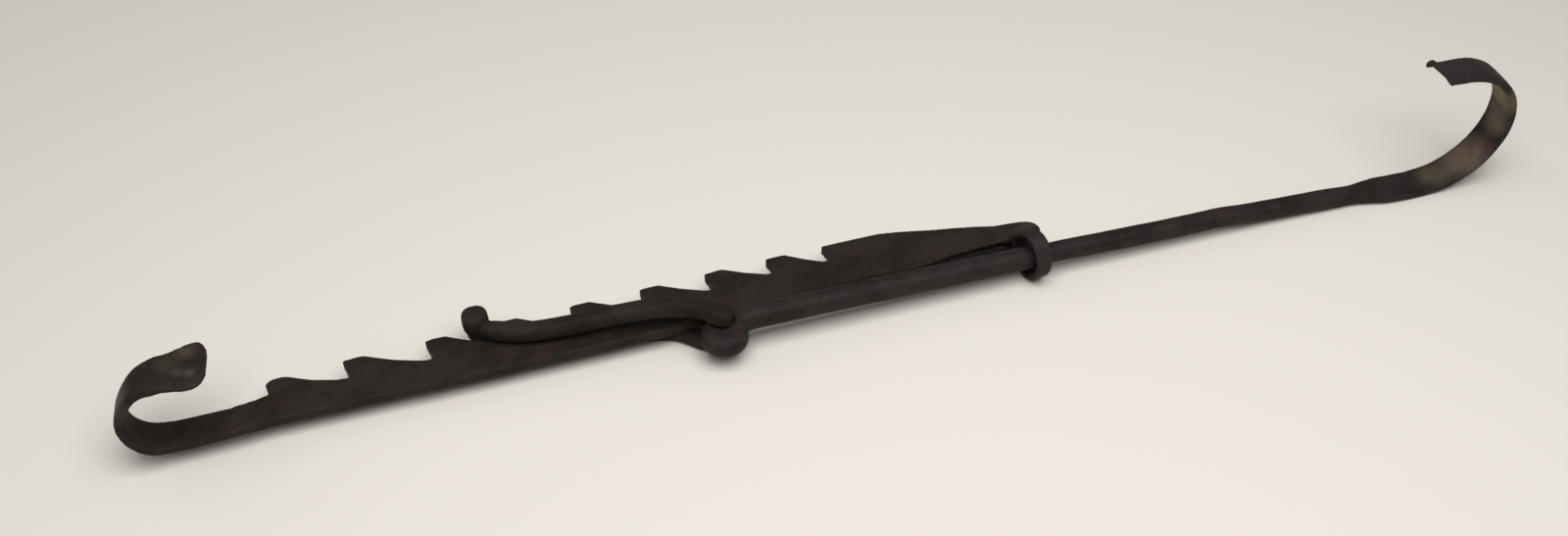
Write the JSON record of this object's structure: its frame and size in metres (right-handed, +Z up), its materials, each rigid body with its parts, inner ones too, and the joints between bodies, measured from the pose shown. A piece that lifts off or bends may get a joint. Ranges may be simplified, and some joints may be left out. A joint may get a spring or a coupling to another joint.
{
  "type": "sawtooth trammel hook",
  "caption": "Hand-forged hearth hanger: flat saw-toothed blade with a small top hook, a rod with a large pot hook sliding in its collar, and a hinged catch link.",
  "frame": {"origin": "centre of the whole object's footprint, on the surface it lies on", "axes": "+X along the blade from the small top hook towards the pot hook, +Y towards the tips of the teeth, +Z up; the object lies on its flat side, and in use it hangs with +X pointing down"},
  "size_m": [0.8076, 0.0744, 0.0889],
  "materials": {
    "forged_iron": "hand-forged wrought iron, dark brown-black with a dull waxed sheen, small hammer flats, rubbed lighter edges and a few rust-brown patches"
  },
  "bodies": {
    "bar": {"toothed_bar": "forged_iron"},
    "rod": {"hook_rod": "forged_iron"},
    "catch": {"catch_link": "forged_iron"}
  },
  "joints": [
    {"name": "rod_slide", "type": "slide", "parent": "bar", "child": "rod", "axis": [1, 0, 0], "range_m": [-0.1155, 0.162]},
    {"name": "catch_swing", "type": "hinge", "parent": "rod", "child": "catch", "pos_m": [-0.09379, -0.0186, 0.0145], "axis": [0, 0, -1], "range_deg": [-3, 60]}
  ]
}
